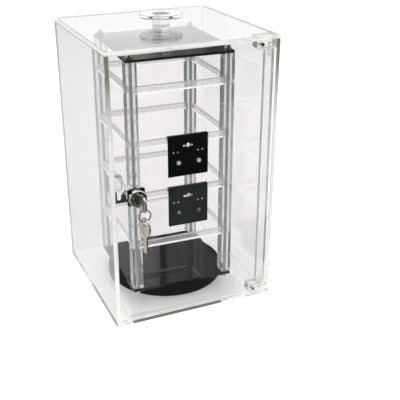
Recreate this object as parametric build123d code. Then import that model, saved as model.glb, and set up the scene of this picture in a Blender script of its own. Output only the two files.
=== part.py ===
from build123d import *
import os
from math import atan2, cos, degrees, pi, sin

# Locking clear display case with a turning tower of rails for earring cards.
# Millimetres, +Z up.  The origin is the centre of the case's footprint, on the
# underside of the base panel.  The door is the front, facing -Y, and is hung on the right.

# ---- case ---------------------------------------------------------------------------
CASE_W = 205.0
CASE_D = 203.0
CASE_H = 332.0
SHEET = 4.5
PANEL_EDGE = 0.35
IN_X = CASE_W / 2 - SHEET
OUT_Y = CASE_D / 2
IN_Y = OUT_Y - SHEET
FLOOR_Z = SHEET
CEILING_Z = CASE_H - SHEET

RISER_X0 = -85.0
RISER_X1 = 81.0
RISER_Y0 = -93.5
RISER_Y1 = 82.5
RISER_T = 2.0
RISER_BEVEL_H = 1.4
RISER_BEVEL_W = 4.0
RISER_TOP = FLOOR_Z + RISER_T

# ---- door and its hinge ---------------------------------------------------------------
DOOR_GAP = 0.4
DOOR_EDGE_GAP = 0.7
ROD_SIDE = 10.0
HINGE_FROM_WALL = 7.5
HINGE_X = IN_X - HINGE_FROM_WALL
HINGE_Y = -OUT_Y + ROD_SIDE / 2
HINGE_PIN_R = 2.0
HINGE_BORE_R = 2.05
PIN_IN_ROD = 9.0
PIN_IN_BLOCK = 6.0
PIN_CHAMFER = 0.5
PIN_END_GAP = 0.5
BLOCK_W = 22.0
BLOCK_D = 18.0
BLOCK_H = 10.0
NOTCH_GAP = 1.0
BLOCK_SCREW_X = IN_X - BLOCK_W + 4.0
SCREW_R = 1.5
SCREW_L = 8.5
SCREW_HOLE_L = 9.0
SCREW_HEAD_R = 2.4
SCREW_HEAD_T = 1.1
SCREW_HEAD_EDGE = 0.8
SCREW_RECESS_R = 0.9
SCREW_RECESS_DEPTH = 0.6

# ---- lock -----------------------------------------------------------------------------
LOCK_X = -72.0
LOCK_Z = 165.0
BEZEL_R = 10.5
BEZEL_T = 5.5
BEZEL_EDGE = 2.0
BARREL_R = 9.5
BARREL_L = 20.5
BARREL_CHAMFER = 0.8
PLUG_R = 6.5
PLUG_BORE_R = 6.55
PLUG_PROUD = 0.8
PLUG_CHAMFER = 0.5
LOCK_NUT_SIDE = 21.0
LOCK_NUT_T = 4.5
LOCK_NUT_CROWN_R = 13.4
LOCK_NUT_CHAMFER = 0.9
HOOK_T = 2.0
HOOK_GAP = 0.6
STUB_R = 4.0
STUB_PROUD = 1.0
HOOK_EYE_R = 8.0
HOOK_HEEL_R = 3.5
HOOK_TIP_R = 1.6
HOOK_THROAT_R = 2.7
# Corners of the hook about the lock's centre: under the eye, heel, tip, throat, shoulder.
HOOK = (
    (6.5, -4.0),
    (2.0, -10.0),
    (-4.0, -12.0),
    (-17.2, -12.0),
    (-20.7, -8.5),
    (-20.7, 3.6),
    (-17.5, 3.6),
    (-17.5, -6.6),
    (-12.1, -6.6),
    (-12.1, -3.5),
    (-7.0, 3.5),
)
CAM_NUT_FLATS = 11.0
CAM_NUT_T = 3.2
BARREL_END_Y = -OUT_Y + BARREL_L
HOOK_FRONT_Y = BARREL_END_Y + HOOK_GAP
HOOK_BACK_Y = HOOK_FRONT_Y + HOOK_T
BEZEL_FRONT_Y = -OUT_Y - BEZEL_T
STRIKE_W = 12.0
STRIKE_D = 8.0
STRIKE_BOTTOM = 172.5
STRIKE_TOP = 190.5
STRIKE_FRONT_Y = -92.0

# ---- keys and split ring ----------------------------------------------------------------
KEY_T = 2.0
BOW_W = 20.0
BOW_L = 22.0
BLADE_W = 7.0
BLADE_L = 21.0
BLADE_TIP = 2.6
BLADE_CUT_R = 1.4
BLADE_CUT_START = 5.0
BLADE_CUT_PITCH = 2.9
BLADE_CUTS = (0.5, 1.3, 0.9, 1.5, 0.6)
SHOULDER_L = 4.0
SHOULDER_W = 10.0
SLOT_L = 12.5
SLOT_W = 5.0
SLOT_FROM_END = 5.5
KEYWAY_CLEARANCE = 0.15
KEYWAY_END_GAP = 1.0
BOW_GAP = 0.4
RING_R = 7.0
RING_RADIAL = 1.3
RING_AXIAL = 1.7
RING_EDGE = 0.4
HANG_GAP = 0.35
SPARE_KEY_TURN = 14.0

# ---- turntable --------------------------------------------------------------------------
DISC_R = 73.0
DISC_BOTTOM = 6.9
DISC_TOP = 19.0
DISC_EDGE = 2.0
DISC_PLATE_T = 2.4
DISC_SKIRT_T = 3.2
DISC_HUB_R = 9.0
HUB_GAP = 0.8
HUB_OVERLAP = 0.1
PIVOT_R = 4.0
PIVOT_BORE_R = 4.05
PIVOT_TOP = 18.4
PIVOT_CHAMFER = 0.6
RACE_R_OUT = 62.0
RACE_T = 5.0
RACE_CHAMFER = 0.6
BALL_R = 2.45
BALL_GAP = 0.1
BALL_CIRCLE_R = 52.0
BALL_COUNT = 16
CAGE_R_IN = 46.5
CAGE_R_OUT = 57.5
CAGE_T = 2.2
CAGE_HOLE_R = 2.6

# ---- tower --------------------------------------------------------------------------------
TOWER_TURN = -2.1
PLATE_HALF = 65.3
PLATE_T = 3.0
PLATE_EDGE = 0.4
LOW_PLATE_TOP = DISC_TOP + PLATE_T
TOP_PLATE_Z = 308.4
TOP_PLATE_TOP = TOP_PLATE_Z + PLATE_T
POST_SIDE = 12.7
POST_AT = PLATE_HALF - POST_SIDE / 2
JOINT_TOP_Z = 272.6
JOINT_PITCH = 32.3
JOINT_COUNT = 8
JOINT_CHAMFER = 0.7
FOOT_CHAMFER = 2.4
TIE_R = 2.0
TIE_BORE_R = 2.15
TIE_END = 4.0
NUT_FLATS = 7.6
NUT_HEX_H = 3.4
NUT_H = 7.4
NUT_FLARE = 1.6
NUT_NECK = 0.3
NUT_DOME_STEP = 0.4

RAIL_T = 3.0
RAIL_H = 8.9
RAIL_BELOW_JOINT = 1.2
RAIL_AT = 60.9
RAIL_SEAT = 3.0
RAIL_EDGE = 0.5
RAIL_TIERS = 4

STEM_R = 10.0
STEM_HOLE_R = 10.7
KNOB_R = 25.5
KNOB_T = 4.5
KNOB_Z = 342.3
KNOB_EDGE = 0.5
STEM_SPIGOT_R = 4.0

# ---- cards and ear studs --------------------------------------------------------------------
CARD = 50.8
CARD_T = 0.6
CARD_GAP = 0.3
CARD_U = 8.2
LIP_DROP = 5.0
CARD_FOLD_R = 0.48
HANG_SLOT_DROP = 13.0
HANG_SLOT_W = 12.0
HANG_SLOT_H = 2.6
HANG_HOLE_R = 2.6
HANG_HOLE_RAISE = 0.6
PIERCE_R = 0.8
PIERCE_U = (-18.3, -12.7, 12.7, 18.3)
PIERCE_DROP = 20.3
STUD_U = 12.8
STUD_DROP = 32.5
STUD_R = 2.6
STUD_SEAT = 0.7
STUD_CUP_R = 1.5
STUD_CUP_T = 0.7
STUD_POST_R = 0.45
STUD_POST_L = 10.0
CLUTCH_R = 2.4
CLUTCH_T = 2.6
CLUTCH_FLANGE_T = 0.6
CLUTCH_BARREL_R = 1.73

parts = {}


def add(name, shape):
    """Keep a finished sub-part under its node's name."""
    parts[name] = shape


def slab(x0, x1, y0, y1, z0, z1):
    """A box between two corners."""
    middle = Pos((x0 + x1) / 2, (y0 + y1) / 2, (z0 + z1) / 2)
    return middle * Box(x1 - x0, y1 - y0, z1 - z0)


def sheet(x0, x1, y0, y1, z0, z1, edge=PANEL_EDGE):
    """A slab with its sharp arrises broken, as a polished sheet has."""
    box = slab(x0, x1, y0, y1, z0, z1)
    return chamfer(box.edges(), edge)


def post_z(r, z0, z1, x=0.0, y=0.0):
    """An upright cylinder."""
    return Pos(x, y, (z0 + z1) / 2) * Cylinder(r, z1 - z0)


def post_y(r, y0, y1, x, z):
    """A cylinder lying along Y."""
    return Pos(x, (y0 + y1) / 2, z) * Rot(90, 0, 0) * Cylinder(r, y1 - y0)


def hexagon_prism(flats, height):
    """A hexagonal prism standing on the XY plane, with two flats facing +X and -X."""
    profile = Rot(0, 0, 30) * RegularPolygon(radius=flats / 2, side_count=6, major_radius=False)
    return extrude(profile, height)


def upright_plate(profile, y_front, y_back):
    """A plate cut to an XZ profile, drawn in XY, between two Y positions."""
    plate = extrude(profile, y_back - y_front)
    return Pos(0, y_back, 0) * Rot(90, 0, 0) * plate


def group(shapes):
    """Separate solids that share one node."""
    return Compound(children=list(shapes))


def on_tower(shape):
    """Turn a shape drawn square to the tower to the tower's rest angle."""
    return Rot(0, 0, TOWER_TURN) * shape


# ---- case -----------------------------------------------------------------------------------
def base_panel():
    return sheet(-CASE_W / 2, CASE_W / 2, -OUT_Y, OUT_Y, 0, FLOOR_Z)


def top_panel():
    panel = sheet(-CASE_W / 2, CASE_W / 2, -OUT_Y, OUT_Y, CEILING_Z, CASE_H)
    panel -= post_z(STEM_HOLE_R, CEILING_Z - 1, CASE_H + 1)
    rims = panel.edges().filter_by(GeomType.CIRCLE)
    return chamfer(rims, PANEL_EDGE)


def side_panel(side):
    x0, x1 = sorted((side * IN_X, side * CASE_W / 2))
    return sheet(x0, x1, -OUT_Y, OUT_Y, FLOOR_Z, CEILING_Z)


def back_panel():
    return sheet(-IN_X, IN_X, IN_Y, OUT_Y, FLOOR_Z, CEILING_Z)


def riser_plate():
    """A bevelled sheet under the turntable, notched to clear the lower hinge block."""
    foot_top = RISER_TOP - RISER_BEVEL_H
    plate = slab(RISER_X0, RISER_X1, RISER_Y0, RISER_Y1, FLOOR_Z, foot_top)
    outline = Rectangle(RISER_X1 - RISER_X0, RISER_Y1 - RISER_Y0)
    slope = degrees(atan2(RISER_BEVEL_W, RISER_BEVEL_H))
    crown = extrude(outline, RISER_BEVEL_H, taper=slope)
    plate += Pos((RISER_X0 + RISER_X1) / 2, (RISER_Y0 + RISER_Y1) / 2, foot_top) * crown
    return plate - slab(IN_X - BLOCK_W - NOTCH_GAP, IN_X, -OUT_Y, -OUT_Y + BLOCK_D + NOTCH_GAP,
                        0, CASE_H)


def hinge_block(z0, z1, pin_z0, pin_z1):
    """A corner block with a blind bore for the door's pivot pin and a screw hole."""
    block = sheet(IN_X - BLOCK_W, IN_X, -OUT_Y, -OUT_Y + BLOCK_D, z0, z1)
    block -= post_z(HINGE_BORE_R, pin_z0, pin_z1, HINGE_X, HINGE_Y)
    middle = (z0 + z1) / 2
    block -= post_y(SCREW_R, -OUT_Y - 1, -OUT_Y + SCREW_HOLE_L, BLOCK_SCREW_X, middle)
    return block


def block_screw(z):
    """A small domed screw in the face of a hinge block."""
    head_y = -OUT_Y - SCREW_HEAD_T
    shank = post_y(SCREW_R, -OUT_Y, -OUT_Y + SCREW_L, BLOCK_SCREW_X, z)
    head = post_y(SCREW_HEAD_R, head_y, -OUT_Y, BLOCK_SCREW_X, z)
    head = fillet(head.edges().sort_by(Axis.Y)[0], SCREW_HEAD_EDGE)
    recess = post_y(SCREW_RECESS_R, head_y - 1, head_y + SCREW_RECESS_DEPTH, BLOCK_SCREW_X, z)
    return shank + head - recess


def strike_block():
    return sheet(-IN_X, -IN_X + STRIKE_W, STRIKE_FRONT_Y, STRIKE_FRONT_Y + STRIKE_D,
                 STRIKE_BOTTOM, STRIKE_TOP)


# ---- door -----------------------------------------------------------------------------------
ROD_LEFT = HINGE_X - ROD_SIDE / 2
ROD_BOTTOM = FLOOR_Z + BLOCK_H + DOOR_EDGE_GAP
ROD_TOP = CEILING_Z - BLOCK_H - DOOR_EDGE_GAP


def door_panel():
    """The front sheet, notched round both hinge blocks and drilled for the lock."""
    panel = slab(-IN_X + DOOR_GAP, ROD_LEFT, -OUT_Y, -IN_Y,
                 FLOOR_Z + DOOR_EDGE_GAP, CEILING_Z - DOOR_EDGE_GAP)
    notch_x = IN_X - BLOCK_W - NOTCH_GAP
    for z0, z1 in ((FLOOR_Z, ROD_BOTTOM), (ROD_TOP, CEILING_Z)):
        panel -= slab(notch_x, IN_X, -OUT_Y - 1, -IN_Y + 1, z0, z1)
    panel = chamfer(panel.edges(), PANEL_EDGE)
    return panel - post_y(BARREL_R, -OUT_Y - 1, -IN_Y + 1, LOCK_X, LOCK_Z)


def hinge_rod():
    """The square rod bonded down the door's hinge edge, drilled at each end."""
    rod = sheet(ROD_LEFT, ROD_LEFT + ROD_SIDE, -OUT_Y, -OUT_Y + ROD_SIDE, ROD_BOTTOM, ROD_TOP)
    rod -= post_z(HINGE_PIN_R, ROD_BOTTOM - 1, ROD_BOTTOM + PIN_IN_ROD, HINGE_X, HINGE_Y)
    rod -= post_z(HINGE_PIN_R, ROD_TOP - PIN_IN_ROD, ROD_TOP + 1, HINGE_X, HINGE_Y)
    return rod


def hinge_pins():
    low_end = FLOOR_Z + BLOCK_H - PIN_IN_BLOCK
    high_end = CEILING_Z - BLOCK_H + PIN_IN_BLOCK
    low = post_z(HINGE_PIN_R, low_end, ROD_BOTTOM + PIN_IN_ROD, HINGE_X, HINGE_Y)
    high = post_z(HINGE_PIN_R, ROD_TOP - PIN_IN_ROD, high_end, HINGE_X, HINGE_Y)
    low = chamfer(low.edges().sort_by(Axis.Z)[0], PIN_CHAMFER)
    high = chamfer(high.edges().sort_by(Axis.Z)[-1], PIN_CHAMFER)
    return group((low, high))


def lock_housing():
    """The fixed shell of the cam lock: proud bezel and threaded barrel."""
    bezel = post_y(BEZEL_R, BEZEL_FRONT_Y, -OUT_Y, LOCK_X, LOCK_Z)
    front_rim = bezel.edges().filter_by(GeomType.CIRCLE).sort_by(Axis.Y)[0]
    bezel = fillet(front_rim, BEZEL_EDGE)
    barrel = post_y(BARREL_R, -OUT_Y, BARREL_END_Y, LOCK_X, LOCK_Z)
    back_rim = barrel.edges().filter_by(GeomType.CIRCLE).sort_by(Axis.Y)[-1]
    barrel = chamfer(back_rim, BARREL_CHAMFER)
    bore = post_y(PLUG_BORE_R, BEZEL_FRONT_Y - 1, BARREL_END_Y + 1, LOCK_X, LOCK_Z)
    return bezel + barrel - bore


def lock_nut():
    """Square nut behind the door, with its corners turned down to a crown."""
    half = LOCK_NUT_SIDE / 2
    nut = slab(LOCK_X - half, LOCK_X + half, -IN_Y, -IN_Y + LOCK_NUT_T,
               LOCK_Z - half, LOCK_Z + half)
    crown = post_y(LOCK_NUT_CROWN_R, -IN_Y - 1, -IN_Y + LOCK_NUT_T, LOCK_X, LOCK_Z)
    inner_rim = crown.edges().filter_by(GeomType.CIRCLE).sort_by(Axis.Y)[-1]
    nut = nut & chamfer(inner_rim, LOCK_NUT_CHAMFER)
    return nut - post_y(BARREL_R, -IN_Y - 1, -IN_Y + LOCK_NUT_T + 1, LOCK_X, LOCK_Z)


# ---- lock plug, hook and keys ----------------------------------------------------------------
PLUG_FRONT_Y = BEZEL_FRONT_Y - PLUG_PROUD
BOW_ROOT_Y = PLUG_FRONT_Y - BOW_GAP
KEY_SLOT_Y = BOW_ROOT_Y - BOW_L + SLOT_FROM_END


def lock_cylinder():
    """The turning plug with its keyway and the stub that carries the hook."""
    plug = post_y(PLUG_R, PLUG_FRONT_Y, HOOK_FRONT_Y, LOCK_X, LOCK_Z)
    front_rim = plug.edges().filter_by(GeomType.CIRCLE).sort_by(Axis.Y)[0]
    plug = chamfer(front_rim, PLUG_CHAMFER)
    stub_end = HOOK_BACK_Y + CAM_NUT_T + STUB_PROUD
    stub = post_y(STUB_R, HOOK_FRONT_Y, stub_end, LOCK_X, LOCK_Z)
    half_t = KEY_T / 2 + KEYWAY_CLEARANCE
    half_w = BLADE_W / 2 + KEYWAY_CLEARANCE
    keyway = slab(LOCK_X - half_t, LOCK_X + half_t, PLUG_FRONT_Y - 1,
                  BOW_ROOT_Y + BLADE_L + KEYWAY_END_GAP, LOCK_Z - half_w, LOCK_Z + half_w)
    return plug + stub - keyway


def hook_cam():
    """A flat cam that reaches left and hooks upwards, cut from plate."""
    outline = [
        Line(HOOK[0], HOOK[1]),
        Line(HOOK[1], HOOK[2]),
        Line(HOOK[2], HOOK[3]),
        RadiusArc(HOOK[3], HOOK[4], HOOK_HEEL_R),
        Line(HOOK[4], HOOK[5]),
        RadiusArc(HOOK[5], HOOK[6], HOOK_TIP_R),
        Line(HOOK[6], HOOK[7]),
        RadiusArc(HOOK[7], HOOK[8], -HOOK_THROAT_R),
        Line(HOOK[8], HOOK[9]),
        Line(HOOK[9], HOOK[10]),
        Line(HOOK[10], HOOK[0]),
    ]
    profile = make_face(outline) + Circle(HOOK_EYE_R) - Circle(STUB_R)
    return Pos(LOCK_X, HOOK_FRONT_Y, LOCK_Z) * upright_plate(profile, 0, HOOK_T)


def cam_nut():
    nut = Rot(90, 0, 0) * hexagon_prism(CAM_NUT_FLATS, CAM_NUT_T)
    nut = Pos(LOCK_X, HOOK_BACK_Y + CAM_NUT_T, LOCK_Z) * nut
    return nut - post_y(STUB_R, HOOK_BACK_Y - 1, HOOK_BACK_Y + CAM_NUT_T + 1, LOCK_X, LOCK_Z)


def flat_key():
    """A key lying in XY: blade towards +X from the origin, bow towards -X."""
    bow = Pos(-BOW_L / 2, 0) * Ellipse(BOW_L / 2, BOW_W / 2)
    shoulder = Pos(-SHOULDER_L / 2, 0) * Rectangle(SHOULDER_L, SHOULDER_W)
    straight = BLADE_L - BLADE_TIP
    blade = Pos((straight - 1) / 2, 0) * Rectangle(straight + 1, BLADE_W)
    tip = Pos(straight, 0) * Ellipse(BLADE_TIP, BLADE_W / 2)
    slot = Pos(-BOW_L + SLOT_FROM_END, 0) * Rot(0, 0, 90) * SlotOverall(SLOT_L, SLOT_W)
    profile = bow + shoulder + blade + tip - slot
    for index, depth in enumerate(BLADE_CUTS):
        cut_at = BLADE_CUT_START + BLADE_CUT_PITCH * index
        profile -= Pos(cut_at, BLADE_W / 2 + BLADE_CUT_R - depth) * Circle(BLADE_CUT_R)
    return Pos(0, 0, -KEY_T / 2) * extrude(profile, KEY_T)


def key():
    """The working key, edge up in the lock, bow standing out in front."""
    return Pos(LOCK_X, BOW_ROOT_Y, LOCK_Z) * Rot(0, 0, 90) * Rot(90, 0, 0) * flat_key()


RING_TOP_Z = LOCK_Z - SLOT_L / 2 + RING_RADIAL / 2 + HANG_GAP
RING_Z = RING_TOP_Z - RING_R
RING_BOTTOM_Z = RING_Z - RING_R


def key_ring():
    """The split ring, hanging face-on through the lower end of the bow's slot."""
    section = Pos(RING_R, 0) * RectangleRounded(RING_RADIAL, RING_AXIAL, RING_EDGE)
    ring = revolve(Plane.XZ * section, Axis.Z)
    return Pos(LOCK_X, KEY_SLOT_Y, RING_Z) * Rot(90, 0, 0) * ring


def spare_key():
    """The second key, hanging from the bottom of the ring by its own slot."""
    slot_top = RING_BOTTOM_Z + RING_RADIAL / 2 + HANG_GAP
    hang = Pos(BOW_L - SLOT_FROM_END + SLOT_W / 2, 0, 0) * flat_key()
    turned = Rot(0, 0, SPARE_KEY_TURN) * Rot(0, 90, 0) * hang
    return Pos(LOCK_X, KEY_SLOT_Y, slot_top) * turned


# ---- turntable -------------------------------------------------------------------------------
RACE_TOP = RISER_TOP + RACE_T
BALL_Z = RACE_TOP + BALL_R + BALL_GAP


def turntable_base():
    ring = post_z(RACE_R_OUT, RISER_TOP, RACE_TOP) - post_z(PIVOT_R, 0, DISC_TOP)
    outer_rims = ring.edges().filter_by(GeomType.CIRCLE).sort_by(SortBy.RADIUS)[-2:]
    return chamfer(outer_rims, RACE_CHAMFER)


def turntable_pivot():
    pin = post_z(PIVOT_R, RISER_TOP, PIVOT_TOP)
    return chamfer(pin.edges().sort_by(Axis.Z)[-1], PIVOT_CHAMFER)


def ball_places():
    step = 2 * pi / BALL_COUNT
    return [(BALL_CIRCLE_R * cos(k * step), BALL_CIRCLE_R * sin(k * step))
            for k in range(BALL_COUNT)]


def ball_cage():
    ring = post_z(CAGE_R_OUT, BALL_Z - CAGE_T / 2, BALL_Z + CAGE_T / 2)
    ring -= post_z(CAGE_R_IN, 0, DISC_TOP)
    for x, y in ball_places():
        ring -= post_z(CAGE_HOLE_R, 0, DISC_TOP, x, y)
    return ring


def bearing_balls():
    return group([Pos(x, y, BALL_Z) * Sphere(BALL_R) for x, y in ball_places()])


def turntable_disc():
    """The turning dish: thin top plate, rolled skirt and a centre hub."""
    dish = post_z(DISC_R, DISC_BOTTOM, DISC_TOP)
    under_z = DISC_TOP - DISC_PLATE_T
    dish = fillet(dish.edges().filter_by(GeomType.CIRCLE).sort_by(Axis.Z)[-1], DISC_EDGE)
    dish -= post_z(DISC_R - DISC_SKIRT_T, 0, under_z)
    dish += post_z(DISC_HUB_R, RACE_TOP + HUB_GAP, under_z + HUB_OVERLAP)
    return dish - post_z(PIVOT_BORE_R, 0, DISC_TOP + 1)


# ---- tower -----------------------------------------------------------------------------------
CORNERS = {
    "front_left": (-1, -1),
    "front_right": (1, -1),
    "back_left": (-1, 1),
    "back_right": (1, 1),
}
JOINTS = [JOINT_TOP_Z - JOINT_PITCH * k for k in range(JOINT_COUNT)]
RAIL_LOWS = [JOINTS[2 * k] - RAIL_BELOW_JOINT for k in range(RAIL_TIERS)]


def tower_plate(z0):
    half = PLATE_HALF
    plate = slab(-half, half, -half, half, z0, z0 + PLATE_T)
    plate = chamfer(plate.edges(), PLATE_EDGE)
    for sx, sy in CORNERS.values():
        plate -= post_z(TIE_BORE_R, z0 - 1, z0 + PLATE_T + 1, sx * POST_AT, sy * POST_AT)
    return plate


def bottom_plate():
    return on_tower(tower_plate(DISC_TOP))


def top_plate():
    spigot_hole = post_z(STEM_SPIGOT_R, TOP_PLATE_Z - 1, TOP_PLATE_TOP + 1)
    return on_tower(tower_plate(TOP_PLATE_Z) - spigot_hole)


def rail_seats(sx, sy):
    """Boxes that cut the two rail seats of every tier into one post."""
    reach = POST_AT - POST_SIDE / 2 + RAIL_SEAT
    boxes = []
    for low in RAIL_LOWS:
        high = low + RAIL_H
        u0, u1 = sorted((sx * (POST_AT - POST_SIDE), sx * reach))
        v0, v1 = sorted((sy * (RAIL_AT - RAIL_T / 2), sy * (RAIL_AT + RAIL_T / 2)))
        boxes.append(slab(u0, u1, v0, v1, low, high))
        u0, u1 = sorted((sx * (RAIL_AT - RAIL_T / 2), sx * (RAIL_AT + RAIL_T / 2)))
        v0, v1 = sorted((sy * (POST_AT - POST_SIDE), sy * reach))
        boxes.append(slab(u0, u1, v0, v1, low, high))
    return boxes


def post(sx, sy):
    """One corner post: clear blocks threaded on the tie rod, seated for the rail ends."""
    levels = [TOP_PLATE_Z] + JOINTS + [LOW_PLATE_TOP]
    half = POST_SIDE / 2
    seats = rail_seats(sx, sy)
    blocks = []
    for high, low in zip(levels[:-1], levels[1:]):
        block = slab(-half, half, -half, half, low, high)
        bottom_cut = FOOT_CHAMFER if low == LOW_PLATE_TOP else JOINT_CHAMFER
        block = chamfer(block.faces().sort_by(Axis.Z)[0].edges(), bottom_cut)
        block = chamfer(block.faces().sort_by(Axis.Z)[-1].edges(), JOINT_CHAMFER)
        block = Pos(sx * POST_AT, sy * POST_AT, 0) * block
        block -= post_z(TIE_BORE_R, low - 1, high + 1, sx * POST_AT, sy * POST_AT)
        for seat in seats:
            block -= seat
        blocks.append(on_tower(block))
    return group(blocks)


def tie_rods():
    rods = []
    for sx, sy in CORNERS.values():
        rod = post_z(TIE_R, DISC_TOP - TIE_END, TOP_PLATE_TOP + TIE_END,
                     sx * POST_AT, sy * POST_AT)
        rods.append(on_tower(rod))
    return group(rods)


def acorn_nut():
    """A domed cap nut standing on the XY plane with a blind bore for the tie rod."""
    nut = hexagon_prism(NUT_FLATS, NUT_HEX_H)
    skirt = Cone(NUT_FLATS / 2 + NUT_FLARE, NUT_FLATS / 2 - NUT_NECK, NUT_HEX_H,
                 align=(Align.CENTER, Align.CENTER, Align.MIN))
    dome_r = NUT_FLATS / 2 - NUT_DOME_STEP
    column = post_z(dome_r, 0, NUT_H - dome_r)
    dome = Pos(0, 0, NUT_H - dome_r) * Sphere(dome_r)
    return (nut & skirt) + column + dome - post_z(TIE_R, -1, TIE_END)


def acorn_nuts(z, flip):
    nuts = []
    for sx, sy in CORNERS.values():
        nut = Rot(180, 0, 0) * acorn_nut() if flip else acorn_nut()
        nuts.append(on_tower(Pos(sx * POST_AT, sy * POST_AT, z) * nut))
    return group(nuts)


def rail(face, tier):
    """One clear rail; faces are front, right, back, left in quarter turns."""
    half = POST_AT - POST_SIDE / 2 + RAIL_SEAT
    low = RAIL_LOWS[tier]
    bar = slab(-half, half, -RAIL_AT - RAIL_T / 2, -RAIL_AT + RAIL_T / 2, low, low + RAIL_H)
    bar = chamfer(bar.edges().filter_by(Axis.X), RAIL_EDGE)
    return on_tower(Rot(0, 0, 90 * face) * bar)


def knob_stem():
    stem = post_z(STEM_R, TOP_PLATE_TOP, KNOB_Z)
    spigot = post_z(STEM_SPIGOT_R, TOP_PLATE_Z, TOP_PLATE_TOP)
    return stem + spigot


def knob_disc():
    disc = post_z(KNOB_R, KNOB_Z, KNOB_Z + KNOB_T)
    return chamfer(disc.edges().filter_by(GeomType.CIRCLE), KNOB_EDGE)


# ---- cards -----------------------------------------------------------------------------------
CARD_FRONT_V = -(RAIL_AT + RAIL_T / 2 + CARD_GAP + CARD_T)


def card(tier):
    """A square card with its top folded back over a front rail."""
    rail_top = RAIL_LOWS[tier] + RAIL_H
    top = rail_top + CARD_GAP + CARD_T
    left = CARD_U - CARD / 2
    right = CARD_U + CARD / 2
    lip_back_v = -(RAIL_AT - RAIL_T / 2 - CARD_GAP - CARD_T)
    face = slab(left, right, CARD_FRONT_V, CARD_FRONT_V + CARD_T, top - CARD, top)
    fold = slab(left, right, CARD_FRONT_V, lip_back_v, top - CARD_T, top)
    lip = slab(left, right, lip_back_v - CARD_T, lip_back_v, top - LIP_DROP - CARD_T, top)
    body = face + fold + lip
    body = fillet(body.edges().filter_by(Axis.X).group_by(Axis.Z)[-1], CARD_FOLD_R)
    slot_z = top - HANG_SLOT_DROP
    front = CARD_FRONT_V - 1
    back = CARD_FRONT_V + CARD_T + 1
    reach = (HANG_SLOT_W - HANG_SLOT_H) / 2
    body -= slab(CARD_U - reach, CARD_U + reach, front, back,
                 slot_z - HANG_SLOT_H / 2, slot_z + HANG_SLOT_H / 2)
    for end in (-1, 1):
        body -= post_y(HANG_SLOT_H / 2, front, back, CARD_U + end * reach, slot_z)
    body -= post_y(HANG_HOLE_R, front, back, CARD_U, slot_z + HANG_HOLE_RAISE)
    for u in PIERCE_U:
        body -= post_y(PIERCE_R, front, back, CARD_U + u, top - PIERCE_DROP)
    for u in (-STUD_U, STUD_U):
        body -= post_y(PIERCE_R, front, back, CARD_U + u, top - STUD_DROP)
    return on_tower(body)


def stud_places(tier):
    top = RAIL_LOWS[tier] + RAIL_H + CARD_GAP + CARD_T
    return [(CARD_U + u, top - STUD_DROP) for u in (-STUD_U, STUD_U)]


def ear_stud(u, z):
    """A round stud with the thin post that goes through the card."""
    cup = post_y(STUD_CUP_R, CARD_FRONT_V - STUD_CUP_T, CARD_FRONT_V, u, z)
    bead_v = CARD_FRONT_V - STUD_CUP_T - STUD_R * STUD_SEAT
    bead = Pos(u, bead_v, z) * Sphere(STUD_R)
    bead -= slab(u - CARD, u + CARD, CARD_FRONT_V - STUD_CUP_T, 0, z - CARD, z + CARD)
    pin = post_y(STUD_POST_R, CARD_FRONT_V, CARD_FRONT_V + STUD_POST_L, u, z)
    return on_tower(bead + cup + pin)


def clutches(tier):
    """The friction backs that hold the studs to the card."""
    backs = []
    start = CARD_FRONT_V + CARD_T
    for u, z in stud_places(tier):
        flange = post_y(CLUTCH_R, start, start + CLUTCH_FLANGE_T, u, z)
        barrel = post_y(CLUTCH_BARREL_R, start + CLUTCH_FLANGE_T, start + CLUTCH_T, u, z)
        back = flange + barrel - post_y(STUD_POST_R, start - 1, start + CLUTCH_T + 1, u, z)
        backs.append(on_tower(back))
    return group(backs)


# ---- every node ------------------------------------------------------------------------------
add("base_panel", base_panel())
add("riser_plate", riser_plate())
add("left_panel", side_panel(-1))
add("right_panel", side_panel(1))
add("back_panel", back_panel())
add("top_panel", top_panel())
low_block_top = FLOOR_Z + BLOCK_H
high_block_bottom = CEILING_Z - BLOCK_H
add("hinge_block_bottom", hinge_block(FLOOR_Z, low_block_top,
                                      low_block_top - PIN_IN_BLOCK - PIN_END_GAP,
                                      low_block_top + 1))
add("hinge_block_top", hinge_block(high_block_bottom, CEILING_Z,
                                   high_block_bottom - 1,
                                   high_block_bottom + PIN_IN_BLOCK + PIN_END_GAP))
add("hinge_block_screws", group((block_screw(FLOOR_Z + BLOCK_H / 2),
                                 block_screw(CEILING_Z - BLOCK_H / 2))))
add("strike_block", strike_block())
add("turntable_base", turntable_base())
add("turntable_pivot", turntable_pivot())

add("ball_cage", ball_cage())
add("bearing_balls", bearing_balls())

add("door_panel", door_panel())
add("hinge_rod", hinge_rod())
add("hinge_pins", hinge_pins())
add("lock_housing", lock_housing())
add("lock_nut", lock_nut())

add("lock_cylinder", lock_cylinder())
add("hook_cam", hook_cam())
add("cam_nut", cam_nut())
add("key", key())
add("key_ring", key_ring())
add("spare_key", spare_key())

add("turntable_disc", turntable_disc())
add("bottom_plate", bottom_plate())
add("top_plate", top_plate())
for corner, (corner_x, corner_y) in CORNERS.items():
    add("post_" + corner, post(corner_x, corner_y))
add("tie_rods", tie_rods())
add("acorn_nuts_upper", acorn_nuts(TOP_PLATE_TOP, False))
add("acorn_nuts_lower", acorn_nuts(DISC_TOP, True))
for face_index, face_name in enumerate(("front", "right", "back", "left")):
    for tier_index in range(RAIL_TIERS):
        add(f"rail_{face_name}_{tier_index + 1}", rail(face_index, tier_index))
add("knob_stem", knob_stem())
add("knob_disc", knob_disc())

for card_name, card_tier in (("upper", 1), ("lower", 2)):
    add("card_" + card_name, card(card_tier))
    add("clutches_" + card_name, clutches(card_tier))

add("studs_upper", group([ear_stud(u, z) for u, z in stud_places(1)]))
silver_place, gold_place = stud_places(2)
add("stud_lower_silver", ear_stud(*silver_place))
add("stud_lower_gold", ear_stud(*gold_place))

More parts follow.
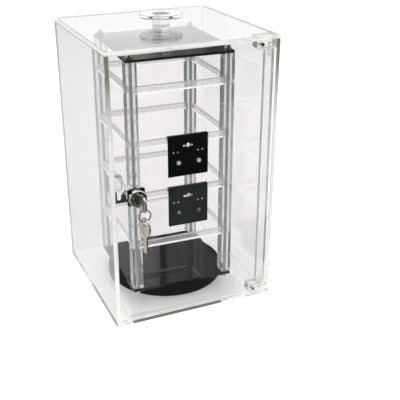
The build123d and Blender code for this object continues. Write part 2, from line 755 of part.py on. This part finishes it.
os.makedirs("parts", exist_ok=True)
for node_name, shape in parts.items():
    export_step(shape, f"parts/{node_name}.step")
print(len(parts), "nodes")
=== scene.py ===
import math

import bpy
from mathutils import Matrix, Vector


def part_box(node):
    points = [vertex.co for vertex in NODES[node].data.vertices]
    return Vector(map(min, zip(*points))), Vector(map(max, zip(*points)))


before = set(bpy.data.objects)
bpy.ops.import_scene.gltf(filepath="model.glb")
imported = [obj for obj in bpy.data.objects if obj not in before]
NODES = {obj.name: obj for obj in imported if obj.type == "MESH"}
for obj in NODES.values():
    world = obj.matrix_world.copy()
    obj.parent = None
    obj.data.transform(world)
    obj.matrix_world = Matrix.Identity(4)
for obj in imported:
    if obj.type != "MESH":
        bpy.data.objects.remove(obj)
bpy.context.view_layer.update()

X, Y, Z = range(3)

# ---- node tree helpers ---------------------------------------------------------------------


class Tree:
    """Short calls for building one material's or the world's node tree."""

    def __init__(self, owner):
        owner.use_nodes = True
        self.nt = owner.node_tree
        self.nt.nodes.clear()

    def node(self, kind, **settings):
        n = self.nt.nodes.new(kind)
        for key, value in settings.items():
            setattr(n, key, value)
        return n

    def put(self, socket, value):
        if isinstance(value, bpy.types.NodeSocket):
            self.nt.links.new(value, socket)
        elif hasattr(value, "__len__") and len(value) == 3 and socket.type == "RGBA":
            socket.default_value = (*value, 1.0)
        else:
            socket.default_value = value

    def math(self, operation, a, b=0.0, c=0.0, clamp=False):
        n = self.node("ShaderNodeMath", operation=operation, use_clamp=clamp)
        for socket, value in zip(n.inputs, (a, b, c)):
            self.put(socket, value)
        return n.outputs[0]

    def coords(self, output="Object"):
        return self.node("ShaderNodeTexCoord").outputs[output]

    def axes(self, vector):
        n = self.node("ShaderNodeSeparateXYZ")
        self.put(n.inputs[0], vector)
        return n.outputs

    def noise(self, scale, detail=3.0, rough=0.5, stretch=(1, 1, 1)):
        mapping = self.node("ShaderNodeMapping")
        self.put(mapping.inputs["Vector"], self.coords())
        mapping.inputs["Scale"].default_value = stretch
        n = self.node("ShaderNodeTexNoise")
        self.put(n.inputs["Vector"], mapping.outputs[0])
        n.inputs["Scale"].default_value = scale
        n.inputs["Detail"].default_value = detail
        n.inputs["Roughness"].default_value = rough
        return n.outputs["Fac"]

    def ramp(self, value, low, high, out_low=0.0, out_high=1.0, kind="LINEAR"):
        n = self.node("ShaderNodeMapRange", interpolation_type=kind, clamp=True)
        for socket, x in zip(n.inputs, (value, low, high, out_low, out_high)):
            self.put(socket, x)
        return n.outputs[0]

    def mix(self, factor, a, b):
        n = self.node("ShaderNodeMix", data_type="RGBA")
        self.put(n.inputs["Factor"], factor)
        self.put(n.inputs[6], a)
        self.put(n.inputs[7], b)
        return n.outputs[2]

    def bump(self, height, distance, strength):
        n = self.node("ShaderNodeBump")
        self.put(n.inputs["Height"], height)
        n.inputs["Distance"].default_value = distance
        n.inputs["Strength"].default_value = strength
        return n.outputs[0]

    def principled(self, **inputs):
        n = self.node("ShaderNodeBsdfPrincipled")
        for key, value in inputs.items():
            self.put(n.inputs[key.replace("_", " ")], value)
        return n

    def mix_shader(self, factor, a, b):
        n = self.node("ShaderNodeMixShader")
        self.put(n.inputs[0], factor)
        self.put(n.inputs[1], a)
        self.put(n.inputs[2], b)
        return n.outputs[0]

    def finish(self, shader, kind="ShaderNodeOutputMaterial"):
        out = self.node(kind)
        self.put(out.inputs["Surface"], shader)


def new_material(name):
    material = bpy.data.materials.new(name)
    return material, Tree(material)


def put_on(names, material):
    for name in names:
        o = NODES[name]
        o.data.materials.clear()
        o.data.materials.append(material)


# ---- clear acrylic -------------------------------------------------------------------------

# Where the clear pieces meet, read from the frame.
LEFT_MIN, LEFT_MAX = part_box("left_panel")
BACK_MIN, BACK_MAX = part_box("back_panel")
HINGE_MIN, HINGE_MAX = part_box("hinge_block_bottom")
STRIKE_MIN, STRIKE_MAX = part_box("strike_block")
RISER_MIN, RISER_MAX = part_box("riser_plate")
CASE_X = -LEFT_MIN[X]
IN_X = -LEFT_MAX[X]
OUT_Y = BACK_MAX[Y]
IN_Y = BACK_MIN[Y]
FLOOR_Z = LEFT_MIN[Z]
CEILING_Z = LEFT_MAX[Z]
BLOCK_W, BLOCK_D, BLOCK_H = HINGE_MAX - HINGE_MIN
ROD_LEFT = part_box("hinge_rod")[0][X]
KNOB_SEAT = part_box("knob_disc")[0][Z]
STEM_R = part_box("knob_stem")[1][X]
# Four tiers of rails, numbered from the top. Each tier spans two blocks of a post, and the joint
# between two blocks is a little above a rail's lower edge.
RAIL_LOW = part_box("rail_front_4")[0][Z]
RAIL_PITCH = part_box("rail_front_1")[0][Z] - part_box("rail_front_2")[0][Z]
RAIL_BELOW_JOINT = 0.0012
JOINT_PITCH = RAIL_PITCH / 2
JOINT_LOW = RAIL_LOW + RAIL_BELOW_JOINT - JOINT_PITCH
# Heights above a rail's lower edge over which its two sawn edges fade into its face.
RAIL_LOW_EDGE = (0.0016, 0.0024)
RAIL_HIGH_EDGE = (0.0078, 0.0084)
# How near to a joint counts as on it.
BOND = 0.00006
# Where the normal's part along a sheet's thin axis is below EDGE_NORMAL, the face is a sawn edge.
# It scatters the share SAWN of the light and has a painted glow, a stand-in for the light piped
# along the sheet.
EDGE_NORMAL = 0.97
SAWN = 0.4
SAWN_PAINTED_GLOW = 0.35
ACRYLIC_IOR = 1.49
# What scatters in a rail all over, and what is added at its lower and upper sawn edges; last, the
# painted glow on its lower edge, a stand-in for light piped along the rail.
RAIL_HAZE = 0.22
RAIL_LOW_HAZE = 0.70
RAIL_HIGH_HAZE = 0.40
RAIL_LOW_PAINTED_GLOW = 0.55
FILM_COLOUR = (0.93, 0.93, 0.95)
# How deep the faces ripple: on most pieces, on the tower's posts and rails, and on the knob.
RIPPLE = 0.00004
TOWER_RIPPLE = 0.00002
KNOB_RIPPLE = 0.00001
SHADOW_TINT = (0.985, 0.985, 0.985)


def let_light_through(t, shader):
    """Lamps and bounced light pass straight through clear stock, so what is inside is lit."""
    path = t.node("ShaderNodeLightPath").outputs
    see_through = t.node("ShaderNodeBsdfTransparent")
    t.put(see_through.inputs[0], SHADOW_TINT)
    soft = t.math("MAXIMUM", path["Is Shadow Ray"], path["Is Diffuse Ray"])
    return t.mix_shader(soft, shader, see_through.outputs[0])


def near(t, value, level):
    return t.math("COMPARE", value, level, BOND)


def between(t, value, low, high):
    over = t.math("GREATER_THAN", value, low - BOND)
    return t.math("MULTIPLY", over, t.math("LESS_THAN", value, high + BOND))


def every(t, *factors):
    result = factors[0]
    for factor in factors[1:]:
        result = t.math("MULTIPLY", result, factor)
    return result


def either(t, *factors):
    result = factors[0]
    for factor in factors[1:]:
        result = t.math("MAXIMUM", result, factor)
    return result


def case_welds(t):
    """1 on the faces where the case's sheets and blocks are solvent-welded."""
    x, y, z = t.axes(t.coords())
    ax = t.math("ABSOLUTE", x)
    decks = either(t, near(t, z, FLOOR_Z), near(t, z, CEILING_Z))
    back = between(t, y, IN_Y, OUT_Y)
    walls = either(t, between(t, ax, IN_X, CASE_X), back)
    block_x = between(t, x, IN_X - BLOCK_W, IN_X)
    block_y = between(t, y, -OUT_Y, BLOCK_D - OUT_Y)
    block_z = either(t, between(t, z, FLOOR_Z, FLOOR_Z + BLOCK_H),
                     between(t, z, CEILING_Z - BLOCK_H, CEILING_Z))
    strike = every(t, near(t, x, -IN_X), between(t, y, STRIKE_MIN[Y], STRIKE_MAX[Y]),
                   between(t, z, STRIKE_MIN[Z], STRIKE_MAX[Z]))
    riser = every(t, near(t, z, FLOOR_Z), between(t, x, RISER_MIN[X], RISER_MAX[X]),
                  between(t, y, RISER_MIN[Y], RISER_MAX[Y]))
    return either(t, riser, every(t, walls, decks), every(t, near(t, ax, IN_X), back),
                  every(t, decks, block_x, block_y),
                  every(t, near(t, x, IN_X), block_y, block_z), strike)


def door_welds(t):
    """1 where the square hinge rod is welded down the door's edge."""
    x, y, _ = t.axes(t.coords())
    return every(t, near(t, x, ROD_LEFT), between(t, y, -OUT_Y, -IN_Y))


def riser_welds(t):
    """1 under the riser, which is wetted down to the base."""
    return near(t, t.axes(t.coords())[Z], FLOOR_Z)


def knob_welds(t):
    """1 where the stem is bonded under the knob's disc."""
    x, y, z = t.axes(t.coords())
    off_centre = t.math("SQRT", t.math("ADD", t.math("POWER", x, 2.0), t.math("POWER", y, 2.0)))
    return every(t, near(t, z, KNOB_SEAT), t.math("LESS_THAN", off_centre, STEM_R + BOND))


def post_welds(t):
    """1 on the faces where the blocks of a post meet, which are wetted tight together."""
    z = t.axes(t.coords())[Z]
    step = t.math("FRACT", t.math("DIVIDE", t.math("SUBTRACT", z, JOINT_LOW), JOINT_PITCH))
    away = t.math("MINIMUM", step, t.math("SUBTRACT", 1.0, step))
    return t.math("LESS_THAN", away, BOND / JOINT_PITCH)


def height_on_rail(t):
    """Height above the lower edge of whichever tier's rail this is."""
    z = t.axes(t.coords())[Z]
    turns = t.math("FRACT", t.math("DIVIDE", t.math("SUBTRACT", z, RAIL_LOW - BOND), RAIL_PITCH))
    return t.math("MULTIPLY", turns, RAIL_PITCH)


def rail_film(t):
    """How much each height of a rail scatters: a bright sawn lower edge, a lighter upper one."""
    height = height_on_rail(t)
    low = t.ramp(height, *RAIL_LOW_EDGE, RAIL_LOW_HAZE, 0.0)
    high = t.ramp(height, *RAIL_HIGH_EDGE, 0.0, RAIL_HIGH_HAZE)
    return t.math("ADD", t.math("ADD", low, high), RAIL_HAZE)


def rail_painted_glow(t):
    """A painted glow on a rail's lower sawn edge, a stand-in for light piped along the rail."""
    return t.ramp(height_on_rail(t), *RAIL_LOW_EDGE, RAIL_LOW_PAINTED_GLOW, 0.0)


def clear_stock(name, tint, edge_tint=None, thin_axis=None, haze=0.0, welds=None,
                ripple=RIPPLE, glow=None, sawn=SAWN):
    """Cast acrylic. A sheet with a thin axis has polished faces and warmer, sawn edges.

    haze is the share of light that a film on the surface scatters, as a number or a function of
    place, welds marks the faces bonded to a neighbour, and glow is a painted glow on the film.
    """
    material, t = new_material(name)
    smudge = t.noise(14.0, 5.0, 0.6)
    waves = t.noise(60.0, 2.0, 0.5)
    coat = FILM_COLOUR
    # Painted glow: what the film emits, where a piece is given one.
    light = glow(t) if glow else 0.0
    share = haze(t) if callable(haze) else t.ramp(smudge, 0.3, 0.7, haze * 0.7, haze * 1.3)
    if thin_axis is None:
        colour = t.mix(t.ramp(smudge, 0.35, 0.7), tint, [c * 0.985 for c in tint])
    else:
        facing = t.math("ABSOLUTE", t.axes(t.coords("Normal"))[thin_axis])
        edge = t.math("LESS_THAN", facing, EDGE_NORMAL)
        colour = t.mix(edge, tint, edge_tint(t) if callable(edge_tint) else edge_tint)
        waves = t.math("MULTIPLY", waves, t.math("ADD", t.math("MULTIPLY", edge, 0.9), 0.1))
        coat = t.mix(edge, coat, colour)
        # Painted glow: the sawn edges emit light, a stand-in for light piped along the sheet.
        light = t.math("MULTIPLY", edge, SAWN_PAINTED_GLOW)
        share = t.math("MAXIMUM", share, t.math("MULTIPLY", edge, sawn))
    rough = t.ramp(smudge, 0.45, 0.75, 0.0, 0.015)
    glass = t.principled(Base_Color=colour, Roughness=rough, IOR=ACRYLIC_IOR,
                         Transmission_Weight=1.0, Normal=t.bump(waves, ripple, 0.6))
    shader = glass.outputs[0]
    if haze:
        film = t.principled(Base_Color=coat, Roughness=0.9, Specular_IOR_Level=0.0,
                            Emission_Color=coat, Emission_Strength=light)
        shader = t.mix_shader(share, shader, film.outputs[0])
    shader = let_light_through(t, shader)
    if welds:
        gone = t.node("ShaderNodeBsdfTransparent")
        shader = t.mix_shader(welds(t), shader, gone.outputs[0])
    t.finish(shader)
    return material


# Each piece's tint is its acrylic's faint colour; the door's and the riser's are set darker as
# painted shade, which darkens what shows through them.
SIDE = (0.940, 0.925, 0.930)
BACK = (0.865, 0.845, 0.855)
DOOR = (0.915, 0.898, 0.905)
TOP = (0.955, 0.945, 0.950)
BASE = (0.985, 0.980, 0.985)
RISER = (0.955, 0.950, 0.957)
BLOCK = (0.98, 0.97, 0.97)
ROD = (0.97, 0.965, 0.96)
PIN = (0.96, 0.95, 0.95)
POST = (0.90, 0.935, 0.93)
RAIL = (0.96, 0.965, 0.97)
KNOB = (0.985, 0.98, 0.97)
EDGE = (0.99, 0.98, 0.92)
# A painted dark olive reflection on the upright sawn edges, the heights over which it fades out
# downwards, and how far those heights wander.
PAINTED_REFLECTION_EDGE = (0.20, 0.18, 0.115)
PAINTED_REFLECTION_Z = (0.25, 0.325)
PAINTED_REFLECTION_DRIFT = 0.04


def upright_edge(t):
    """A painted dark olive reflection on the long sawn edges near the top, fading to clear cream
    lower down.
    """
    z = t.axes(t.coords())[Z]
    drift = t.math("MULTIPLY", t.noise(9.0, 2.0), PAINTED_REFLECTION_DRIFT)
    return t.mix(t.ramp(t.math("ADD", z, drift), *PAINTED_REFLECTION_Z), EDGE, PAINTED_REFLECTION_EDGE)


put_on(["left_panel", "right_panel"],
       clear_stock("acrylic_side", SIDE, upright_edge, X, haze=0.012, welds=case_welds))
put_on(["back_panel"],
       clear_stock("acrylic_back", BACK, EDGE, Y, haze=0.012, welds=case_welds))
put_on(["door_panel"],
       clear_stock("acrylic_door", DOOR, EDGE, Y, haze=0.001, welds=door_welds))
put_on(["top_panel"],
       clear_stock("acrylic_top", TOP, EDGE, Z, haze=0.03, welds=case_welds))
put_on(["base_panel"],
       clear_stock("acrylic_base", BASE, EDGE, Z, haze=0.012, welds=case_welds, sawn=0.1))
put_on(["riser_plate"],
       clear_stock("acrylic_riser", RISER, EDGE, Z, haze=0.03, welds=riser_welds, sawn=0.7))
put_on(["hinge_block_bottom", "hinge_block_top", "strike_block"],
       clear_stock("acrylic_block", BLOCK, haze=0.10, welds=case_welds))
put_on(["hinge_rod"], clear_stock("acrylic_rod", ROD, haze=0.22, welds=door_welds))
put_on(["hinge_pins"], clear_stock("acrylic_pin", PIN))
put_on(["post_front_left", "post_front_right", "post_back_left", "post_back_right"],
       clear_stock("acrylic_post", POST, haze=0.13, welds=post_welds, ripple=TOWER_RIPPLE))
put_on(sorted(n for n in NODES if n.startswith("rail_")),
       clear_stock("acrylic_rail", RAIL, haze=rail_film, ripple=TOWER_RIPPLE, glow=rail_painted_glow))
put_on(["knob_stem", "knob_disc"],
       clear_stock("acrylic_knob", KNOB, welds=knob_welds, ripple=KNOB_RIPPLE))

# ---- opaque materials ----------------------------------------------------------------------

DUST = (0.18, 0.18, 0.19)
DUST_SHARE = 0.35
# How deep each surface's relief is, in metres.
SHEET_WAVES = 0.000004
METAL_MARKS = 0.000006
CARD_GRAIN = 0.00002


def gloss_black(name, colour, low, high, gloss):
    """Black sheet or moulding: faint dust, and fingerprints that vary its roughness."""
    material, t = new_material(name)
    smudge = t.noise(22.0, 6.0, 0.6)
    dust = t.ramp(t.noise(1400.0, 1.0, 0.4), 0.72, 0.78)
    base = t.mix(t.math("MULTIPLY", dust, DUST_SHARE), colour, DUST)
    rough = t.ramp(smudge, 0.35, 0.7, low, high)
    bsdf = t.principled(Base_Color=base, Roughness=rough, IOR=ACRYLIC_IOR,
                        Specular_IOR_Level=gloss,
                        Normal=t.bump(t.noise(35.0, 2.0), SHEET_WAVES, 0.4))
    t.finish(bsdf.outputs[0])
    return material


def metal(name, colour, low, high, scale=120.0, stretch=(1, 1, 1)):
    """Plated or bare metal: fine polish marks, and darker stains."""
    material, t = new_material(name)
    marks = t.noise(scale, 4.0, 0.6, stretch)
    stain = t.noise(90.0, 4.0, 0.6)
    base = t.mix(t.ramp(stain, 0.4, 0.7), colour, [c * 0.85 for c in colour])
    rough = t.ramp(marks, 0.3, 0.7, low, high)
    bsdf = t.principled(Base_Color=base, Metallic=1.0, Roughness=rough,
                        Normal=t.bump(marks, METAL_MARKS, 0.5))
    t.finish(bsdf.outputs[0])
    return material


put_on(["bottom_plate"],
       gloss_black("black_acrylic", (0.0045, 0.0070, 0.0065), 0.005, 0.012, 0.5))
# The top plate's colour is raised above the bottom plate's black as a painted sheen, a stand-in
# for what it reflects.
put_on(["top_plate"],
       gloss_black("black_acrylic_top_painted_sheen", (0.014, 0.015, 0.0145), 0.01, 0.03, 0.18))
put_on(["turntable_disc", "turntable_base"],
       gloss_black("black_moulding", (0.002, 0.003, 0.003), 0.08, 0.16, 0.02))

chrome = metal("chrome", (0.86, 0.87, 0.88), 0.03, 0.09)
steel = metal("steel", (0.62, 0.63, 0.64), 0.16, 0.28)
put_on(["lock_housing", "lock_nut", "acorn_nuts_upper", "acorn_nuts_lower",
        "clutches_upper", "clutches_lower"], chrome)
# The lock's face is dark grey metal as a painted dark reflection, a stand-in for its plating
# mirroring the dark room.
put_on(["lock_cylinder"], metal("lock_face", (0.36, 0.36, 0.33), 0.14, 0.25))
put_on(["hook_cam"], metal("dark_steel", (0.20, 0.22, 0.20), 0.22, 0.36))
put_on(["cam_nut", "hinge_block_screws", "turntable_pivot", "bearing_balls", "key_ring"], steel)
put_on(["tie_rods"], metal("tie_rod_steel", (0.55, 0.58, 0.57), 0.18, 0.3, 400.0, (1, 1, 0.1)))
put_on(["key", "spare_key"],
       metal("nickel_silver", (0.74, 0.68, 0.58), 0.22, 0.38, 200.0, (1, 1, 0.05)))


def card_material(name, colour, gloss):
    """Thin plastic card with a fine leather-like grain."""
    material, t = new_material(name)
    grain = t.noise(2600.0, 2.0, 0.5)
    tone = t.mix(t.ramp(t.noise(30.0, 3.0), 0.35, 0.7), colour, [c * 1.4 for c in colour])
    bsdf = t.principled(Base_Color=tone, Roughness=t.ramp(grain, 0.3, 0.7, 0.26, 0.36),
                        IOR=ACRYLIC_IOR, Specular_IOR_Level=gloss,
                        Normal=t.bump(grain, CARD_GRAIN, 0.35))
    t.finish(bsdf.outputs[0])
    return material


put_on(["card_upper"], card_material("card_black", (0.0016, 0.0030, 0.0030), 0.08))
# The lower card's colour is raised above the upper card's black as a painted sheen, a stand-in
# for the light it reflects.
put_on(["card_lower"], card_material("card_black_painted_sheen", (0.0150, 0.0230, 0.0200), 0.25))


def pearl_material():
    material, t = new_material("pearl")
    swirl = t.noise(700.0, 3.0, 0.5)
    tone = t.mix(t.ramp(swirl, 0.3, 0.7), (0.90, 0.87, 0.83), (0.82, 0.84, 0.88))
    bsdf = t.principled(Base_Color=tone, Roughness=t.ramp(swirl, 0.3, 0.7, 0.12, 0.2),
                        Coat_Weight=0.6, Coat_Roughness=0.05)
    t.finish(bsdf.outputs[0])
    return material


def nylon_material():
    material, t = new_material("white_nylon")
    cloud = t.noise(120.0, 3.0)
    tone = t.mix(cloud, (0.82, 0.81, 0.77), (0.88, 0.87, 0.84))
    bsdf = t.principled(Base_Color=tone, Roughness=t.ramp(cloud, 0.3, 0.7, 0.35, 0.5))
    t.finish(bsdf.outputs[0])
    return material


put_on(["studs_upper"], pearl_material())
put_on(["stud_lower_silver"], chrome)
put_on(["stud_lower_gold"], metal("gold_plate", (0.83, 0.62, 0.30), 0.06, 0.14))
put_on(["ball_cage"], nylon_material())

# ---- studio --------------------------------------------------------------------------------

FLOOR_HALF = 6.0
FLOOR_DROP = 0.0003
FLOOR_GLOW = 0.46
# What mirrors see of the floor: a white table top that is dark in front of the case, black beyond
# the table's front edge, and dimmer behind the case where it shows through several sheets.
TABLE_FRONT_Y = -0.42
TABLE_FRONT_FADE = 0.04
TABLE_BACK_Y = 0.35
TABLE_BACK_FADE = 0.5
TABLE_BACK_LEVEL = 0.12
FRONT_WHITE_Y = -0.106
FRONT_DARK_Y = -0.125
FRONT_LEVEL = 0.10
MIRROR_LEVEL = 0.75
MIRROR_BLACK = 0.02
# The walls, by how far a direction points to the camera's end of the room. A ramp is where it
# starts and ends, then its levels there. LIT_ROOM lights the object, MIRROR_ROOM is what mirrors
# see, and WALL_LEVEL is what the camera sees, also through clear sheets.
CAMERA_END = (-0.383, -0.924)
LIT_ROOM = (0.1, 0.75, 0.45, 0.25)
MIRROR_ROOM = (-0.3, 0.5, 0.85, 0.05)
WALL_LEVEL = 0.92
# A bright backdrop behind the case, dimmer to the right, with dark flags standing in it, for what
# mirrors show through several sheets. In radians: where it dims, and each flag's bearing and half
# its width. A flag's rim fades over FLAG_FADE times that half width.
BACKDROP_BRIGHT = 1.5
BACKDROP_SIDE = 0.62
BACKDROP_TURN = (0.345, 0.375)
FLAG_LEVEL = 0.12
FLAGS = ((0.3705, 0.007), (0.458, 0.033))
FLAG_FADE = (0.6, 1.2)
# How much brighter the ceiling is, and how steeply a direction climbs where it starts, for what
# the nearest sheets mirror.
CANOPY = 0.36
CANOPY_Z = (0.06, 0.14)


def seen_deep(t):
    """1 for what is seen through both faces of one clear sheet and then another."""
    depth = t.node("ShaderNodeLightPath").outputs["Transmission Depth"]
    return t.math("SUBTRACT", depth, 2.0, clamp=True)


def make_floor():
    mesh = bpy.data.meshes.new("studio_floor")
    h = FLOOR_HALF
    z = -FLOOR_DROP
    mesh.from_pydata([(-h, -h, z), (h, -h, z), (h, h, z), (-h, h, z)], [], [(0, 1, 2, 3)])
    floor = bpy.data.objects.new("studio_floor", mesh)
    bpy.context.scene.collection.objects.link(floor)
    material, t = new_material("floor_white")
    tone = t.mix(t.noise(0.8, 2.0), (0.90, 0.90, 0.90), (0.93, 0.93, 0.93))
    bsdf = t.principled(Base_Color=tone, Roughness=0.9, Emission_Color=(1, 1, 1),
                        Emission_Strength=FLOOR_GLOW)
    y = t.axes(t.coords())[Y]
    near_case = t.ramp(y, FRONT_DARK_Y, FRONT_WHITE_Y, FRONT_LEVEL, 1.0, "SMOOTHSTEP")
    front = t.ramp(y, TABLE_FRONT_Y - TABLE_FRONT_FADE, TABLE_FRONT_Y)
    far = t.ramp(y, TABLE_BACK_Y, TABLE_BACK_Y + TABLE_BACK_FADE, 1.0, TABLE_BACK_LEVEL,
                 "SMOOTHSTEP")
    back = t.math("MAXIMUM", far, t.math("SUBTRACT", 1.0, seen_deep(t)))
    level = every(t, near_case, front, back, MIRROR_LEVEL)
    seen = t.node("ShaderNodeEmission")
    t.put(seen.inputs["Strength"], t.math("ADD", level, MIRROR_BLACK))
    mirrored = t.math("MINIMUM", t.node("ShaderNodeLightPath").outputs["Glossy Depth"], 1.0)
    t.finish(t.mix_shader(mirrored, bsdf.outputs[0], seen.outputs[0]))
    mesh.materials.append(material)


def make_world():
    """Studio walls: one level for lighting, one for the camera, and a pattern for mirrors."""
    world = bpy.data.worlds.new("studio")
    bpy.context.scene.world = world
    t = Tree(world)
    x, y, z = t.axes(t.coords("Generated"))
    towards = t.math("ADD", t.math("MULTIPLY", x, CAMERA_END[X]),
                     t.math("MULTIPLY", y, CAMERA_END[Y]))
    plain = t.ramp(towards, *LIT_ROOM, "SMOOTHSTEP")
    room = t.ramp(towards, *MIRROR_ROOM, "SMOOTHSTEP")
    bearing = t.math("ARCTAN2", x, y)
    backdrop = t.ramp(bearing, *BACKDROP_TURN, BACKDROP_BRIGHT, BACKDROP_SIDE, "SMOOTHSTEP")
    for centre, half in FLAGS:
        off = t.math("ABSOLUTE", t.math("SUBTRACT", bearing, centre))
        core, rim = (half * share for share in FLAG_FADE)
        flag = t.ramp(off, core, rim, FLAG_LEVEL, BACKDROP_BRIGHT, "SMOOTHSTEP")
        backdrop = t.math("MINIMUM", backdrop, flag)
    deep = seen_deep(t)
    shallow = t.math("SUBTRACT", 1.0, deep)
    canopy = t.math("ADD", every(t, shallow, t.ramp(z, *CANOPY_Z), CANOPY), 1.0)
    hung = t.math("ADD", t.math("MULTIPLY", backdrop, deep), shallow)
    room = every(t, room, hung, canopy)
    path = t.node("ShaderNodeLightPath").outputs
    mirrored = t.math("MINIMUM", path["Glossy Depth"], 1.0)
    lighting = t.math("MINIMUM", path["Diffuse Depth"], 1.0)
    unlit = t.math("SUBTRACT", 1.0, lighting)
    seen = t.math("ADD", t.math("MULTIPLY", plain, lighting),
                  t.math("MULTIPLY", unlit, WALL_LEVEL))
    direct = t.math("SUBTRACT", 1.0, mirrored)
    level = t.math("ADD", t.math("MULTIPLY", seen, direct), t.math("MULTIPLY", room, mirrored))
    background = t.node("ShaderNodeBackground")
    background.inputs["Color"].default_value = (1.0, 1.0, 1.0, 1.0)
    t.put(background.inputs["Strength"], level)
    t.finish(background.outputs[0], "ShaderNodeOutputWorld")


def softbox(name, place, aim, width, height, radiance, mirrored=True):
    """A rectangular lamp. One that isn't mirrored lights the object but shows in no sheet."""
    light = bpy.data.lights.new(name, "AREA")
    light.shape = "RECTANGLE"
    light.size = width
    light.size_y = height
    light.energy = radiance * math.pi * width * height
    lamp = bpy.data.objects.new(name, light)
    lamp.location = place
    lamp.rotation_euler = (Vector(aim) - Vector(place)).to_track_quat("-Z", "Y").to_euler()
    lamp.visible_camera = False
    lamp.visible_glossy = mirrored
    lamp.visible_transmission = mirrored
    bpy.context.scene.collection.objects.link(lamp)


make_floor()
make_world()
softbox("softbox_top", place=(0.1, 0.3, 2.4), aim=(0, 0.3, 0), width=3.4, height=3.4,
        radiance=0.62)
softbox("softbox_back", place=(0.45, 1.05, 1.15), aim=(0, 0, 0.3), width=1.6, height=0.9,
        radiance=1.35, mirrored=False)
softbox("softbox_left", place=(-1.6, -0.1, 0.45), aim=(0, 0, 0.2), width=0.8, height=1.1,
        radiance=0.9)

# ---- camera --------------------------------------------------------------------------------

AZIMUTH = math.radians(-22.543)
ELEVATION = math.radians(24.591)
ROLL = math.radians(-0.533)
DISTANCE = 0.95987
TARGET = Vector((0.01902, 0.0, 0.1044))
LENS = 65.83
SENSOR = 36.0
SHIFT = (0.056, -0.0025)
CLIP = (0.05, 30.0)


def make_camera():
    back = Vector((math.sin(AZIMUTH) * math.cos(ELEVATION),
                   -math.cos(AZIMUTH) * math.cos(ELEVATION), math.sin(ELEVATION)))
    right = Vector((math.cos(AZIMUTH), math.sin(AZIMUTH), 0.0))
    up = back.cross(right)
    turned_right = right * math.cos(ROLL) + up * math.sin(ROLL)
    turned_up = up * math.cos(ROLL) - right * math.sin(ROLL)
    data = bpy.data.cameras.new("camera")
    data.lens = LENS
    data.sensor_width = SENSOR
    data.shift_x, data.shift_y = SHIFT
    data.clip_start, data.clip_end = CLIP
    camera = bpy.data.objects.new("camera", data)
    turn = Matrix((turned_right, turned_up, back)).transposed()
    camera.matrix_world = Matrix.Translation(TARGET + back * DISTANCE) @ turn.to_4x4()
    bpy.context.scene.collection.objects.link(camera)
    bpy.context.scene.camera = camera


make_camera()

# A ray can pass through many clear pieces, with two faces each, so it needs many bounces.
CLEAR_BOUNCES = 32

scene = bpy.context.scene
scene.view_settings.view_transform = "Standard"
scene.cycles.max_bounces = CLEAR_BOUNCES
scene.cycles.transmission_bounces = CLEAR_BOUNCES
scene.cycles.glossy_bounces = CLEAR_BOUNCES
scene.cycles.diffuse_bounces = 4
scene.cycles.transparent_max_bounces = 48
scene.cycles.caustics_reflective = False
scene.cycles.caustics_refractive = True
scene.cycles.sample_clamp_indirect = 6.0
scene.cycles.use_denoising = True

bpy.context.view_layer.update()
